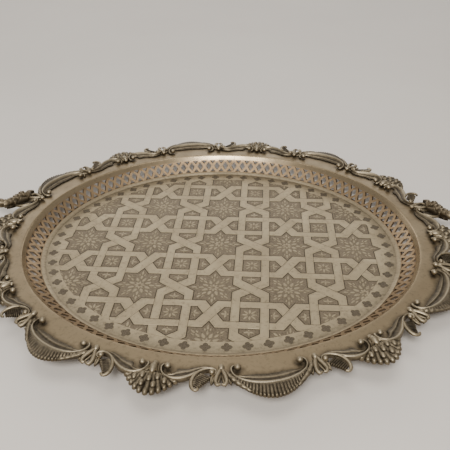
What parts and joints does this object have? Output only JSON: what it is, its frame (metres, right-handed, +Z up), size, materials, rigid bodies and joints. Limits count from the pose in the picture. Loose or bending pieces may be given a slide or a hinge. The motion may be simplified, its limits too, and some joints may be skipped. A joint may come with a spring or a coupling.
{
  "type": "serving tray",
  "caption": "Oval silver-plated serving tray with an engraved floor, a pierced leaning gallery, a scalloped cast rococo border and fixed loop handles at both ends.",
  "frame": {"origin": "on the table, under the middle of the base", "axes": "+X along the long axis towards the right handle, +Y across, +Z up"},
  "size_m": [0.4642, 0.3404, 0.0283],
  "materials": {
    "floor_plate": "engraved, aged silver plate",
    "gallery_plate": "satin, aged silver plate",
    "flange_plate": "satin, aged silver plate",
    "border_casting": "cast, aged silver plate, dark in the recesses",
    "handle_casting": "cast, aged silver plate",
    "screw_brass": "plain turned brass"
  },
  "bodies": {
    "root": {"base_plate": "floor_plate", "gallery_strip_right": "gallery_plate", "gallery_strip_left": "gallery_plate", "rim_flange": "flange_plate", "border_shell_1": "border_casting", "border_shell_2": "border_casting", "border_shell_3": "border_casting", "border_shell_4": "border_casting", "border_shell_5": "border_casting", "border_shell_6": "border_casting", "border_shell_7": "border_casting", "border_shell_8": "border_casting", "border_scroll_1": "border_casting", "border_scroll_2": "border_casting", "border_scroll_3": "border_casting", "border_scroll_4": "border_casting", "border_scroll_5": "border_casting", "border_scroll_6": "border_casting", "handle_right": "handle_casting", "handle_left": "handle_casting", "handle_screw_right_back": "screw_brass", "handle_screw_right_front": "screw_brass", "handle_screw_left_front": "screw_brass", "handle_screw_left_back": "screw_brass"}
  },
  "joints": []
}
